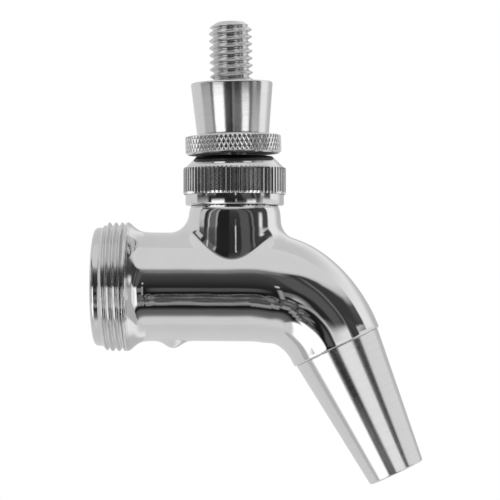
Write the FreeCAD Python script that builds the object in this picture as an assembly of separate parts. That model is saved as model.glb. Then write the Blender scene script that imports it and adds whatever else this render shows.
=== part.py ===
import FreeCAD, Part
import math
import os

os.makedirs("parts", exist_ok=True)
V = FreeCAD.Vector

# Forward-sealing beer faucet, all sizes in mm.
# Origin: centre of the rear inlet face, on the tube axis.
# +X runs toward the spout, +Z up through the lever, Y across.

# ---- general fits ----
slide_gap = 0.05          # radial gap of pieces that slide or drop into a bore
thread_gap = 0.05         # radial gap between mating threads drawn as rings
seal_gap = 0.02           # closed valve seal to its cone
crest_flat = 0.20         # flat left on every thread crest
root_flat = 0.35          # flat left in every thread root

# ---- body: coupling end ----
coupling_major_r = 28.575 / 2    # 1-1/8 in UNEF
coupling_pitch = 25.4 / 18
coupling_minor_r = coupling_major_r - 0.6134 * coupling_pitch
coupling_start = 2.47            # first thread flank
coupling_crests = 4
collar_r = 13.10
collar_len = 1.75
collar_round = 1.00
shoulder_end = 10.30             # foot of the cone behind the thread

# ---- body: tube and bend ----
tube_rear_r = 11.90
tube_front_r = 12.10
bend_r = 20.0                    # radius of the bend centre line
bend_start = 34.65               # x where the bend begins
spout_tilt = 25.4                # spout axis from the vertical, degrees
bend_turn = 90.0 - spout_tilt
seam_run = 2.10                  # straight run from the bend to the seam
seam_r = 10.25
seam_round = 0.40
swell_turn = 18.0                # the bend keeps its full girth up to this angle
bend_sections = [(22.0, 11.97, 0.04), (26.0, 11.76, 0.10), (30.0, 11.52, 0.16),
                 (35.0, 11.22, 0.20), (40.0, 11.00, 0.17), (46.0, 10.80, 0.08),
                 (52.0, 10.62, 0.00), (58.0, 10.48, -0.03)]   # angle, radius, outward shift

# ---- body: inside ----
bore_r = 8.60
guide_bore_r = 9.00
guide_seat = 13.50               # x of the shoulder the shaft guide stops on
ring_groove_r = 9.60
passage_r = 6.60                 # way through the bend
throat_r = 6.00                  # hole the valve closes
seat_end = 40.60                 # x where the 45 degree seat cone meets the throat
socket_r = 8.25                  # hole the spout is pushed into
socket_depth = 5.80

# ---- body: neck and small cast boss ----
neck_x = 31.0
neck_r = 10.05
neck_shoulder = 17.75
neck_fillet = 4.20
neck_thread_r = 9.20
neck_pitch = 1.25
neck_top = 24.20
neck_bore_r = 7.35
cup_floor = 13.20
neck_hole_top_r = 6.00
neck_hole_low_r = 7.60
boss_x = 17.30
boss_height = 1.57
boss_foot_r = 3.10
boss_top_r = 1.00

# ---- spout ----
spout_len = 30.55
spout_top_r = 9.85
spout_tip_r = 6.35
spout_tip_bore_r = 5.30
spout_top_bore_r = 6.70
outlet_len = 8.0                 # straight end of the spout bore

# ---- lever ----
pivot_z = 20.0
lever_lean = -1.5                # resting lean of the lever, degrees
ball_r = 5.80
stem_r = 3.00
stud_major_r = 9.525 / 2         # 3/8 in UNC
stud_pitch = 25.4 / 16
stud_minor_r = stud_major_r - 0.6134 * stud_pitch
stud_start = 11.60               # heights along the lever, from the ball centre
nut_major_r = 4.60               # crests under the ferrule are turned down a little
nut_crests = 3
stud_relief_turns = 8.5          # pitches from the nut thread's start to the handle thread's
stud_relief_r = 4.30
handle_crests = 8
stud_top = 38.70
finger_root_r = 2.30
finger_tip_r = 1.45
finger_len = 20.0                # ball centre to the middle of the sleeve
sleeve_r = 2.10
sleeve_half = 1.45

# ---- bonnet ----
bonnet_low = 17.90
bonnet_plain_r = 10.90
bonnet_knurl_r = 11.35
bonnet_knurl_low = 20.35
bonnet_knurl_high = 26.25
bonnet_cone_r = 11.00
bonnet_top = 28.80
bonnet_top_r = 8.40
bonnet_flange = 26.00
bonnet_hole_low_r = 6.30
bonnet_hole_top_r = 7.35
knurl_count = 72
knurl_depth = 0.32

# ---- jam nut and ferrule, heights along the lever ----
nut_low = 9.30
nut_top = 13.40
nut_r = 10.62
nut_chamfer = 0.55
nut_recess_r = 9.20
nut_recess = [(8.70, 10.00), (7.20, 10.65), (4.95, 11.65)]
ferrule_top = 25.20
ferrule_low_r = 7.93
ferrule_top_r = 9.10
ferrule_round = 0.40

# ---- valve ----
shaft_r = 2.50
shaft_rear = 9.50
yoke_wall = 1.60
yoke_width = 8.80
yoke_height = 6.40
yoke_gap = 0.20                  # sleeve to slot, each side
head_r = 7.20
head_len = 1.50
fin_inner_r = 5.80
fin_thickness = 1.60
fin_len = 3.00
seal_mid_r = 6.00
seal_wire_r = 1.30


def turned(points):
    """Solid of revolution about Z from its (radius, height) corners."""
    area = sum(a[0] * b[1] - b[0] * a[1] for a, b in zip(points, points[1:] + points[:1]))
    ordered = points if area > 0 else points[::-1]
    corners = [V(r, 0, h) for r, h in ordered + ordered[:1]]
    return Part.Face(Part.makePolygon(corners)).revolve(V(0, 0, 0), V(0, 0, 1), 360)


def placed(shape, origin, tilt):
    """Turn a Z-built shape about Y by tilt degrees and move it to origin."""
    moved = shape.copy()
    turn = FreeCAD.Placement(origin, FreeCAD.Rotation(V(0, 1, 0), tilt))
    moved.Placement = turn.multiply(shape.Placement)
    return moved


def along_x(shape, x=0.0):
    return placed(shape, V(x, 0, 0), 90)


def on_lever(shape):
    return placed(shape, V(neck_x, 0, pivot_z), lever_lean)


def on_spout(shape):
    """Z = 0 at the seam, Z up toward the bend."""
    return placed(shape, seam_point, -spout_tilt)


def rounded(shape, size, rims):
    """Fillet the circular edges of a Z-built shape at (radius, height)."""
    picked = []
    for edge in shape.Edges:
        if not isinstance(edge.Curve, Part.Circle):
            continue
        for r, h in rims:
            near_r = abs(edge.Curve.Radius - r) < 1e-3
            near_h = abs(edge.Curve.Center.z - h) < 1e-3
            if near_r and near_h:
                picked.append(edge)
    return shape.makeFillet(size, picked)


def thread_outline(major, minor, pitch, start, count):
    """Corners (radius, height) of a run of thread crests drawn as rings."""
    flank = (pitch - crest_flat - root_flat) / 2.0
    corners = []
    for i in range(count):
        h = start + i * pitch
        corners.append((minor, h))
        corners.append((major, h + flank))
        corners.append((major, h + flank + crest_flat))
        corners.append((minor, h + 2 * flank + crest_flat))
    return corners


def tube(outer, inner, low, high):
    return turned([(inner, low), (outer, low), (outer, high), (inner, high)])


def o_ring(mid_r, wire_r, height):
    return Part.makeTorus(mid_r, wire_r, V(0, 0, height), V(0, 0, 1))


def squeezed_ring(inner, outer, low, high, corner):
    """O-ring pressed into a groove: rectangular section with soft corners."""
    ring = tube(outer, inner, low, high)
    rims = [(inner, low), (outer, low), (inner, high), (outer, high)]
    return rounded(ring, corner, rims)


def bend_point(turn, shift=0.0):
    a = math.radians(turn)
    reach = bend_r + shift
    return V(bend_start + reach * math.sin(a), 0, reach * math.cos(a) - bend_r)


def bend_dir(turn):
    a = math.radians(turn)
    return V(math.cos(a), 0, -math.sin(a))


def hoop(centre, direction, radius):
    return Part.Wire(Part.makeCircle(radius, centre, direction))


bend_end = bend_point(bend_turn)
spout_dir = bend_dir(bend_turn)
seam_point = bend_end + spout_dir * seam_run


# ---- faucet body ----
def body_outside():
    straight = turned([(0, shoulder_end), (tube_rear_r, shoulder_end),
                       (tube_front_r, bend_start), (0, bend_start)])
    disc = Part.Face(hoop(V(bend_start, 0, 0), V(1, 0, 0), tube_front_r))
    elbow = disc.revolve(V(bend_start, 0, -bend_r), V(0, 1, 0), swell_turn)

    neck = Part.makeCylinder(neck_r, neck_shoulder, V(neck_x, 0, 0), V(0, 0, 1))
    shell = along_x(straight).fuse(elbow).fuse(neck)
    root = []
    for edge in shell.Edges:
        box = edge.BoundBox
        if box.ZMax > 8 and box.ZMax < 14 and box.ZMin > 3 and box.XMin > 20 and box.XMax < 42:
            root.append(edge)
    shell = shell.makeFillet(neck_fillet, root)

    hoops = [hoop(bend_point(swell_turn), bend_dir(swell_turn), tube_front_r)]
    for turn, r, shift in bend_sections:
        hoops.append(hoop(bend_point(turn, shift), bend_dir(turn), r))
    hoops.append(hoop(bend_end, spout_dir, seam_r + 0.1))
    hoops.append(hoop(seam_point, spout_dir, seam_r))
    tail = Part.makeLoft(hoops, True, False)
    rim = [e for e in tail.Edges if e.BoundBox.Center.distanceToPoint(seam_point) < 0.5]
    shell = shell.fuse(tail.makeFillet(seam_round, rim))

    reach = tube_rear_r + boss_height
    slope = (boss_foot_r - boss_top_r) / boss_height
    boss = turned([(0, 0), (boss_foot_r + 2 * slope, tube_rear_r - 2.0),
                   (boss_top_r, reach), (0, reach)])
    boss = rounded(boss, 0.6, [(boss_top_r, reach)])
    shell = shell.fuse(placed(boss, V(boss_x, 0, 0), 180))

    thread = thread_outline(coupling_major_r, coupling_minor_r, coupling_pitch,
                            coupling_start, coupling_crests)
    last_r, last_h = thread[-2]
    outline = [(0, 0), (collar_r, 0), (collar_r, collar_len), (coupling_minor_r, coupling_start)]
    outline += thread[1:-1]
    outline += [(last_r - 0.42, last_h + 0.55), (tube_rear_r, shoulder_end), (0, shoulder_end)]
    rear = rounded(turned(outline), collar_round, [(collar_r, 0)])
    shell = shell.fuse(along_x(rear))

    crests = 4
    undercut = neck_shoulder + 1.65
    minor = neck_thread_r - 0.6134 * neck_pitch
    top = [(0, neck_shoulder - 1), (minor, neck_shoulder - 1), (minor, undercut)]
    top += thread_outline(neck_thread_r, minor, neck_pitch, undercut, crests - 1)
    top += [(minor, neck_top), (0, neck_top)]
    return shell.fuse(placed(turned(top), V(neck_x, 0, 0), 0))


def body_inside():
    """Everything bored out of the body."""
    cone_start = seat_end - (bore_r - throat_r)
    way = turned([(0, -1), (guide_bore_r + 0.6, -1), (guide_bore_r + 0.6, 0), (guide_bore_r, 0.6),
                  (guide_bore_r, guide_seat), (bore_r, guide_seat), (bore_r, cone_start),
                  (throat_r, seat_end), (throat_r, seat_end + 5.4), (0, seat_end + 5.4)])
    inside = along_x(way)
    groove = tube(ring_groove_r, bore_r - 1, 8.75, 10.0)
    inside = inside.fuse(along_x(groove))

    first = 29.0
    steps = 5
    hoops = []
    for i in range(steps + 1):
        turn = first + (bend_turn - first) * i / steps
        hoops.append(hoop(bend_point(turn), bend_dir(turn), passage_r))
    hoops.append(hoop(seam_point, spout_dir, passage_r))
    inside = inside.fuse(Part.makeLoft(hoops, True, False))
    socket = Part.makeCylinder(socket_r, socket_depth + 1, V(0, 0, -1), V(0, 0, 1))
    inside = inside.fuse(on_spout(socket))

    well = turned([(0, 0), (neck_hole_low_r, 0), (neck_hole_low_r, 8.5),
                   (neck_hole_top_r, cup_floor), (neck_bore_r, cup_floor),
                   (neck_bore_r, neck_top + 1), (0, neck_top + 1)])
    return inside.fuse(placed(well, V(neck_x, 0, 0), 0))


faucet_body = body_outside().cut(body_inside())


# ---- spout and its seal ----
def make_spout():
    spigot_r = socket_r - slide_gap
    outline = [(spout_tip_bore_r, -spout_len), (spout_tip_r, -spout_len), (spout_top_r, 0.0),
               (spigot_r, 0.0), (spigot_r, socket_depth - 0.1),
               (spout_top_bore_r, socket_depth - 0.1), (spout_top_bore_r, -6.0),
               (spout_tip_bore_r, -spout_len + outlet_len)]
    blank = rounded(turned(outline), 0.35, [(spout_tip_r, -spout_len), (spout_tip_bore_r, -spout_len)])
    blank = rounded(blank, 0.25, [(spout_top_r, 0.0)])
    return blank.cut(tube(spigot_r + 1, spigot_r - 0.75, 2.2, 3.8))


spout = on_spout(make_spout())
spout_o_ring = on_spout(squeezed_ring(socket_r - slide_gap - 0.75, socket_r, 2.25, 3.75, 0.3))


# ---- shaft guide ----
def make_guide():
    length = 3.4
    rim = tube(guide_bore_r - slide_gap, guide_bore_r - 1.4, 0, length)
    hub = tube(shaft_r + slide_gap + 1.6, shaft_r + slide_gap, 0, length)
    guide = rim.fuse(hub)
    for i in range(3):
        spoke = Part.makeBox(guide_bore_r - 1.0 - shaft_r - 1.0, 1.6, length,
                             V(shaft_r + 1.0, -0.8, 0))
        spoke.rotate(V(0, 0, 0), V(0, 0, 1), 60 + 120 * i)
        guide = guide.fuse(spoke)
    return guide.removeSplitter()


guide_len = 3.4
shaft_guide = along_x(make_guide(), guide_seat - guide_len)


def make_guide_ring():
    ring = tube(ring_groove_r - 0.05, guide_bore_r - 1.1, 0, 1.15)
    mouth = Part.makeBox(4, 5, 3, V(6, -2.5, -1))
    return ring.cut(mouth)


guide_ring = along_x(make_guide_ring(), 8.80)


# ---- ball bearing stack in the neck, heights from the ball centre ----
def on_pivot(shape):
    return placed(shape, V(neck_x, 0, pivot_z), 0)


def make_cup():
    low = cup_floor - pivot_z
    outer = neck_bore_r - slide_gap
    cup = turned([(5.45, low), (outer, low), (outer, -0.8), (0, -0.8), (0, low + 2.4), (4.90, low + 2.4)])
    cup = cup.cut(Part.makeSphere(ball_r + slide_gap))
    cup = cup.cut(turned([(0, low - 1), (5.45, low - 1), (5.45, low), (4.45, -3.6), (0, -3.6)]))
    cup = cup.cut(tube(outer + 1, outer - 0.85, low + 0.9, low + 2.4))
    return cup.cut(o_ring(*ball_ring))


ball_ring_at = 26.0
ball_wire_r = 0.60
ball_reach = ball_r + slide_gap + ball_wire_r - 0.03
ball_ring = (ball_reach * math.cos(math.radians(ball_ring_at)), ball_wire_r,
             -ball_reach * math.sin(math.radians(ball_ring_at)))
bearing_cup = on_pivot(make_cup())
ball_o_ring = on_pivot(o_ring(*ball_ring).cut(Part.makeSphere(ball_r + 0.03)))
cup_low = cup_floor - pivot_z
cup_o_ring = on_pivot(squeezed_ring(neck_bore_r - slide_gap - 0.85, neck_bore_r,
                                    cup_low + 0.95, cup_low + 2.35, 0.3))

bushing_top = 5.40


def make_bushing():
    outer = neck_bore_r - slide_gap
    blank = turned([(0, 0.8), (outer, 0.8), (outer, bushing_top), (0, bushing_top)])
    blank = blank.cut(Part.makeSphere(ball_r + slide_gap))
    top = bushing_top + 0.01
    return blank.cut(turned([(0, 0), (4.8, 0), (4.8, 3.2), (6.0, top), (0, top)]))


compression_bushing = on_pivot(make_bushing())
washer_top = bonnet_flange - pivot_z
thrust_washer = on_pivot(tube(neck_bore_r - slide_gap, 6.15, bushing_top, washer_top))

neck_o_ring = placed(o_ring(9.18, 0.72, 0), V(neck_x, 0, neck_shoulder + 0.80), 0)


# ---- bonnet ----
def make_bonnet():
    skirt_r = neck_thread_r + thread_gap
    outline = [(10.0, bonnet_low), (bonnet_plain_r, bonnet_low), (bonnet_plain_r, bonnet_knurl_low - 0.15),
               (bonnet_knurl_r, bonnet_knurl_low + 0.15), (bonnet_knurl_r, bonnet_knurl_high - 0.25),
               (bonnet_cone_r, bonnet_knurl_high), (bonnet_top_r, bonnet_top),
               (bonnet_hole_top_r, bonnet_top), (bonnet_hole_low_r, bonnet_flange),
               (skirt_r, bonnet_flange), (skirt_r, bonnet_low + 1.65), (10.0, bonnet_low + 1.65)]
    blank = rounded(turned(outline), 0.45, [(bonnet_plain_r, bonnet_low)])
    blank = rounded(blank, 0.20, [(bonnet_top_r, bonnet_top)])
    half = math.pi * bonnet_knurl_r / knurl_count * 0.82
    tip = bonnet_knurl_r - knurl_depth
    tool_face = Part.Face(Part.makePolygon([V(tip, 0, 0), V(bonnet_knurl_r + 0.1, half, 0),
                                            V(bonnet_knurl_r + 0.1, -half, 0), V(tip, 0, 0)]))
    tool = tool_face.extrude(V(0, 0, 8))
    tool.translate(V(0, 0, bonnet_knurl_low - 1))
    tools = []
    for i in range(knurl_count):
        flute = tool.copy()
        flute.rotate(V(0, 0, 0), V(0, 0, 1), 360.0 * i / knurl_count)
        tools.append(flute)
    return blank.cut(Part.makeCompound(tools))


bonnet = placed(make_bonnet(), V(neck_x, 0, 0), 0)


# ---- lever ----
def make_lever():
    nut_thread = thread_outline(nut_major_r, stud_minor_r, stud_pitch, stud_start, nut_crests)
    handle_start = stud_start + stud_relief_turns * stud_pitch
    handle_thread = thread_outline(stud_major_r, stud_minor_r, stud_pitch,
                                   handle_start, handle_crests)
    end_r = 2.90
    outline = [(0, 0), (stem_r, 0), (stem_r, stud_start - 0.6), (stud_minor_r, stud_start - 0.1)]
    outline += nut_thread
    outline += [(stud_relief_r, nut_thread[-1][1] + 0.3), (stud_relief_r, handle_start - 0.3)]
    outline += handle_thread
    outline += [(stud_minor_r, stud_top - 0.9), (end_r, stud_top), (0, stud_top)]
    upper = turned(outline)
    foot = finger_len + sleeve_half + 0.3
    finger = turned([(0, 0), (finger_root_r, 0), (finger_root_r, -7.5), (finger_tip_r, -11.0),
                     (finger_tip_r, -foot + 0.3), (finger_tip_r - 0.3, -foot), (0, -foot)])
    return upper.fuse(finger).fuse(Part.makeSphere(ball_r))


lever = on_lever(make_lever())
sleeve_bore_r = finger_tip_r + 0.02
sleeve_blank = Part.makeSphere(sleeve_r)
sleeve_blank = sleeve_blank.common(tube(sleeve_r + 1, sleeve_bore_r, -sleeve_half, sleeve_half))
sleeve_blank.translate(V(0, 0, -finger_len))
finger_sleeve = on_lever(sleeve_blank)


def make_nut():
    hole = nut_major_r + thread_gap
    outline = [(nut_recess_r, nut_low), (nut_r - nut_chamfer, nut_low), (nut_r, nut_low + nut_chamfer),
               (nut_r, nut_top - 0.25), (nut_r - 0.25, nut_top), (hole, nut_top),
               (hole, nut_recess[-1][1])]
    outline += nut_recess[::-1]
    return turned(outline)


def make_ferrule():
    low = nut_top + slide_gap
    hole = stud_major_r + 2 * slide_gap
    blank = turned([(hole, low), (ferrule_low_r, low), (ferrule_top_r, ferrule_top), (hole, ferrule_top)])
    return rounded(blank, ferrule_round, [(ferrule_low_r, low), (ferrule_top_r, ferrule_top)])


jam_nut = on_lever(make_nut())
ferrule = on_lever(make_ferrule())

# ---- valve ----
lean = math.radians(lever_lean)
tip_x = neck_x - finger_len * math.sin(lean)
seal_x = seat_end + throat_r - seal_mid_r - (seal_wire_r + seal_gap) * math.sqrt(2)
head_face = seal_x - seal_wire_r
slot_half = sleeve_r + yoke_gap


def make_shaft():
    yoke_len = 2 * (slot_half + yoke_wall)
    yoke_low = tip_x - yoke_len / 2
    rod = Part.makeCylinder(shaft_r, head_face - shaft_rear, V(0, 0, shaft_rear), V(0, 0, 1))
    rod = rod.makeChamfer(0.5, [e for e in rod.Edges if abs(e.BoundBox.ZMax - shaft_rear) < 1e-6])
    shaft = along_x(rod)
    yoke = Part.makeBox(yoke_len, yoke_width, yoke_height,
                        V(yoke_low, -yoke_width / 2, -yoke_height / 2))
    long_edges = [e for e in yoke.Edges if e.BoundBox.XLength > yoke_len - 0.1]
    yoke = yoke.makeFillet(1.2, long_edges)
    slot = Part.makeBox(2 * slot_half, 2 * slot_half, yoke_height + 2,
                        V(tip_x - slot_half, -slot_half, -yoke_height / 2 - 1))
    return shaft.fuse(yoke).cut(slot)


valve_shaft = make_shaft()


def make_head():
    front = head_face
    disc = tube(head_r, shaft_r, front - head_len, front)
    hub = tube(seal_mid_r - seal_wire_r, shaft_r, front - 0.1, front)
    head = disc.fuse(hub)
    for angle in (90, 90 + 105, 90 - 105):
        fin = Part.makeBox(bore_r - fin_inner_r, fin_thickness, fin_len,
                           V(fin_inner_r, -fin_thickness / 2, front - fin_len))
        fin.rotate(V(0, 0, 0), V(0, 0, 1), angle - 90)
        head = head.fuse(fin)
    limit = Part.makeCylinder(bore_r - slide_gap - 0.03, 60, V(0, 0, 0), V(0, 0, 1))
    return along_x(head.common(limit).removeSplitter())


valve_head = make_head()
seal_ring = along_x(o_ring(seal_mid_r, seal_wire_r, seal_x))


def make_seal_screw():
    hub_r = seal_mid_r - seal_wire_r
    kiss = seal_wire_r * math.sqrt(0.5)
    cone_x = seal_x + kiss - (seal_mid_r - kiss - hub_r)
    flange_x = cone_x + 1.0
    flange_r = hub_r + 1.0
    return turned([(0, head_face), (hub_r, head_face), (hub_r, cone_x), (flange_r, flange_x),
                   (flange_r - 0.3, flange_x + 0.4), (2.6, flange_x + 1.5), (0, flange_x + 1.5)])


seal_screw = along_x(make_seal_screw())

pieces = {
    "faucet_body": faucet_body,
    "spout": spout,
    "spout_o_ring": spout_o_ring,
    "shaft_guide": shaft_guide,
    "guide_ring": guide_ring,
    "bearing_cup": bearing_cup,
    "cup_o_ring": cup_o_ring,
    "ball_o_ring": ball_o_ring,
    "compression_bushing": compression_bushing,
    "thrust_washer": thrust_washer,
    "neck_o_ring": neck_o_ring,
    "bonnet": bonnet,
    "lever": lever,
    "finger_sleeve": finger_sleeve,
    "ferrule": ferrule,
    "jam_nut": jam_nut,
    "valve_shaft": valve_shaft,
    "valve_head": valve_head,
    "seal_ring": seal_ring,
    "seal_screw": seal_screw,
}
for name, shape in pieces.items():
    shape.exportStep("parts/%s.step" % name)
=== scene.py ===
import math

import bmesh
import bpy
import numpy as np
from mathutils import Matrix, Vector


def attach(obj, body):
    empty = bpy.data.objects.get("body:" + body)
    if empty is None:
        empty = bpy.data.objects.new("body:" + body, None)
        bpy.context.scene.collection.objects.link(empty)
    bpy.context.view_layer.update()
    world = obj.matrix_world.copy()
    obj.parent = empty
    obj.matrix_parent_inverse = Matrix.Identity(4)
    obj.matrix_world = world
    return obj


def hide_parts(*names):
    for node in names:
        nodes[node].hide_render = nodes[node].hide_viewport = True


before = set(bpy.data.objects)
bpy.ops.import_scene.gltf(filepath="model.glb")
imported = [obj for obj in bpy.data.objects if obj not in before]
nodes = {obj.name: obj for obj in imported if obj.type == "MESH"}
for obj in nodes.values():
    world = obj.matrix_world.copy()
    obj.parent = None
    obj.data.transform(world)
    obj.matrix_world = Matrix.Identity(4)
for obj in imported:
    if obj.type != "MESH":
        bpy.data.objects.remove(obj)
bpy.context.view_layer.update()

MM = 0.001

# Sizes in mm, in the part's frame: the inlet face at the origin, X along the tube, Z up.
BEND_START = 34.65
BEND_R = 20.0
BEND_TURN = math.radians(64.6)
SEAM_RUN = 2.10
LIP_RUN = 1.20
NECK_X = 31.0
NECK_SHOULDER = 17.86
PIVOT_Z = 20.0
LEAN = math.radians(-1.5)
SPOUT_TILT = math.radians(25.4)
COUPLING_R = 28.575 / 2
COUPLING_PITCH = 25.4 / 18
COUPLING_END = 8.2
COLLAR_R = 13.10
STUD_R = 9.525 / 2
STUD_PITCH = 25.4 / 16
GUIDE_BORE_R = 9.0
GUIDE_SEAT = 13.5
BORE_R = 8.6
THROAT_R = 6.0
PASSAGE_R = 6.6
SOCKET_R = 8.25
NECK_BORE_R = 7.35
CUP_FLOOR = 13.2
NECK_STUB_R = 9.15
NECK_TOP = 24.2
BOSS_X = 17.35
BOSS_HEIGHT = 1.60
BOSS_SPREAD = 2.25
CONE_BLEND = 1.3
NET_STEP = 0.42

bend_end = np.array([BEND_START + BEND_R * math.sin(BEND_TURN), 0.0,
                     BEND_R * math.cos(BEND_TURN) - BEND_R])
spout_dir = np.array([math.cos(BEND_TURN), 0.0, -math.sin(BEND_TURN)])
bend_out = np.array([math.sin(BEND_TURN), 0.0, math.cos(BEND_TURN)])
seam = bend_end + spout_dir * SEAM_RUN


# ---------------------------------------------------------------- shader groups

def new_group(name, inputs, outputs):
    group = bpy.data.node_groups.new(name, "ShaderNodeTree")
    for label, kind, value in inputs:
        socket = group.interface.new_socket(name=label, in_out="INPUT", socket_type=kind)
        if value is not None:
            socket.default_value = value
    for label, kind in outputs:
        group.interface.new_socket(name=label, in_out="OUTPUT", socket_type=kind)
    return group, group.nodes.new("NodeGroupInput"), group.nodes.new("NodeGroupOutput")


def math_node(tree, operation, *values):
    node = tree.nodes.new("ShaderNodeMath")
    node.operation = operation
    for slot, value in enumerate(values):
        if isinstance(value, (int, float)):
            node.inputs[slot].default_value = value
        else:
            tree.links.new(value, node.inputs[slot])
    return node.outputs[0]


def range_node(tree, value, low, high, out_low=0.0, out_high=1.0, smooth=True):
    node = tree.nodes.new("ShaderNodeMapRange")
    node.interpolation_type = "SMOOTHSTEP" if smooth else "LINEAR"
    tree.links.new(value, node.inputs["Value"])
    for label, number in (("From Min", low), ("From Max", high), ("To Min", out_low), ("To Max", out_high)):
        node.inputs[label].default_value = number
    return node.outputs["Result"]


def noise_node(tree, vector, scale, detail=2.0, rough=0.5):
    node = tree.nodes.new("ShaderNodeTexNoise")
    node.inputs["Scale"].default_value = scale
    node.inputs["Detail"].default_value = detail
    node.inputs["Roughness"].default_value = rough
    tree.links.new(vector, node.inputs["Vector"])
    return node.outputs["Fac"]


def stretched(tree, vector, scale):
    node = tree.nodes.new("ShaderNodeMapping")
    node.inputs["Scale"].default_value = scale
    tree.links.new(vector, node.inputs["Vector"])
    return node.outputs["Vector"]


def build_polish_group():
    """Slow waviness of a hand-buffed casting, its hairlines, and cloudy wiping marks."""
    group, start, end = new_group(
        "Buffed surface",
        [("Vector", "NodeSocketVector", None)],
        [("Waves", "NodeSocketFloat"), ("Hairlines", "NodeSocketFloat"), ("Clouds", "NodeSocketFloat")])
    vector = start.outputs["Vector"]
    slow = noise_node(group, vector, 70.0, 1.0, 0.4)
    middle = noise_node(group, stretched(group, vector, (0.4, 1.0, 1.0)), 260.0, 1.0, 0.4)
    waves = math_node(group, "ADD", slow, math_node(group, "MULTIPLY", middle, 0.18))
    hair = noise_node(group, stretched(group, vector, (0.05, 1.0, 1.0)), 9000.0, 2.0, 0.6)
    clouds = noise_node(group, vector, 140.0, 4.0, 0.6)
    group.links.new(waves, end.inputs["Waves"])
    group.links.new(hair, end.inputs["Hairlines"])
    group.links.new(range_node(group, clouds, 0.35, 0.75), end.inputs["Clouds"])
    return group


def build_turning_group():
    """Rings left by the lathe, read from a UV map whose V runs along the turned axis."""
    group, start, end = new_group(
        "Lathe rings",
        [("UV", "NodeSocketVector", None)],
        [("Rings", "NodeSocketFloat"), ("Streaks", "NodeSocketFloat"), ("Facets", "NodeSocketFloat")])
    uv = start.outputs["UV"]
    rings = noise_node(group, stretched(group, uv, (2.0, 340.0, 1.0)), 1.0, 3.0, 0.65)
    streaks = noise_node(group, stretched(group, uv, (7.0, 150.0, 1.0)), 1.0, 3.0, 0.6)
    slow = noise_node(group, stretched(group, uv, (9.0, 5.0, 1.0)), 1.0, 1.0, 0.5)
    fine = noise_node(group, stretched(group, uv, (60.0, 45.0, 1.0)), 1.0, 2.0, 0.5)
    facets = math_node(group, "ADD", slow, math_node(group, "MULTIPLY", fine, 0.10))
    group.links.new(rings, end.inputs["Rings"])
    group.links.new(facets, end.inputs["Facets"])
    group.links.new(range_node(group, streaks, 0.3, 0.75), end.inputs["Streaks"])
    return group


polish_group = build_polish_group()
turning_group = build_turning_group()


HAIRLINE_DEPTH = 0.0000012


def place_group(tree, group):
    node = tree.nodes.new("ShaderNodeGroup")
    node.node_tree = group
    return node


def start_material(name, colour, metallic):
    material = bpy.data.materials.new(name)
    material.use_nodes = True
    tree = material.node_tree
    shader = tree.nodes["Principled BSDF"]
    shader.inputs["Base Color"].default_value = (*colour, 1.0)
    shader.inputs["Metallic"].default_value = metallic
    return material, tree, shader


def add_bump(tree, shader, height, distance, under=None):
    """Bump with its depth in metres, laid over the bump that is given as under."""
    bump = tree.nodes.new("ShaderNodeBump")
    bump.inputs["Distance"].default_value = distance
    tree.links.new(height, bump.inputs["Height"])
    if under is not None:
        tree.links.new(under, bump.inputs["Normal"])
    tree.links.new(bump.outputs["Normal"], shader.inputs["Normal"])
    return bump.outputs["Normal"]


def object_coordinates(tree):
    return tree.nodes.new("ShaderNodeTexCoord").outputs["Object"]


def tone(tree, shader, factor, at_zero, at_one):
    """Base colour that runs between two colours as the factor goes from 0 to 1."""
    ramp = tree.nodes.new("ShaderNodeMix")
    ramp.data_type = "RGBA"
    ramp.inputs["A"].default_value = (*at_zero, 1.0)
    ramp.inputs["B"].default_value = (*at_one, 1.0)
    tree.links.new(factor, ramp.inputs["Factor"])
    tree.links.new(ramp.outputs["Result"], shader.inputs["Base Color"])


def buffed_steel(name, colour, rough_low, rough_high, wave):
    """Hand-buffed steel; wave is the height of its slow unevenness in metres."""
    material, tree, shader = start_material(name, colour, 1.0)
    marks = place_group(tree, polish_group)
    tree.links.new(object_coordinates(tree), marks.inputs["Vector"])
    rough = range_node(tree, marks.outputs["Clouds"], 0.0, 1.0, rough_low, rough_high, smooth=False)
    tree.links.new(rough, shader.inputs["Roughness"])
    slow = add_bump(tree, shader, marks.outputs["Waves"], wave)
    add_bump(tree, shader, marks.outputs["Hairlines"], HAIRLINE_DEPTH, under=slow)
    wiped = tuple(c * 0.965 for c in colour)
    tone(tree, shader, marks.outputs["Clouds"], colour, wiped)
    return material


def turned_steel(name, colour, rough_low, rough_high, ring_depth, waviness, anisotropy=0.0):
    """Steel straight off the lathe; ring_depth and waviness in metres."""
    material, tree, shader = start_material(name, colour, 1.0)
    uv = tree.nodes.new("ShaderNodeUVMap")
    uv.uv_map = "turned"
    marks = place_group(tree, turning_group)
    tree.links.new(uv.outputs["UV"], marks.inputs["UV"])
    rough = range_node(tree, marks.outputs["Streaks"], 0.0, 1.0, rough_low, rough_high, smooth=False)
    tree.links.new(rough, shader.inputs["Roughness"])
    slow = add_bump(tree, shader, marks.outputs["Facets"], waviness)
    add_bump(tree, shader, marks.outputs["Rings"], ring_depth, under=slow)
    streaked = tuple(c * 0.95 for c in colour)
    tone(tree, shader, marks.outputs["Streaks"], colour, streaked)
    if anisotropy:
        shader.inputs["Anisotropic"].default_value = anisotropy
        tangent = tree.nodes.new("ShaderNodeTangent")
        tangent.direction_type = "UV_MAP"
        tangent.uv_map = "turned"
        tree.links.new(tangent.outputs["Tangent"], shader.inputs["Tangent"])
    return material


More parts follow.
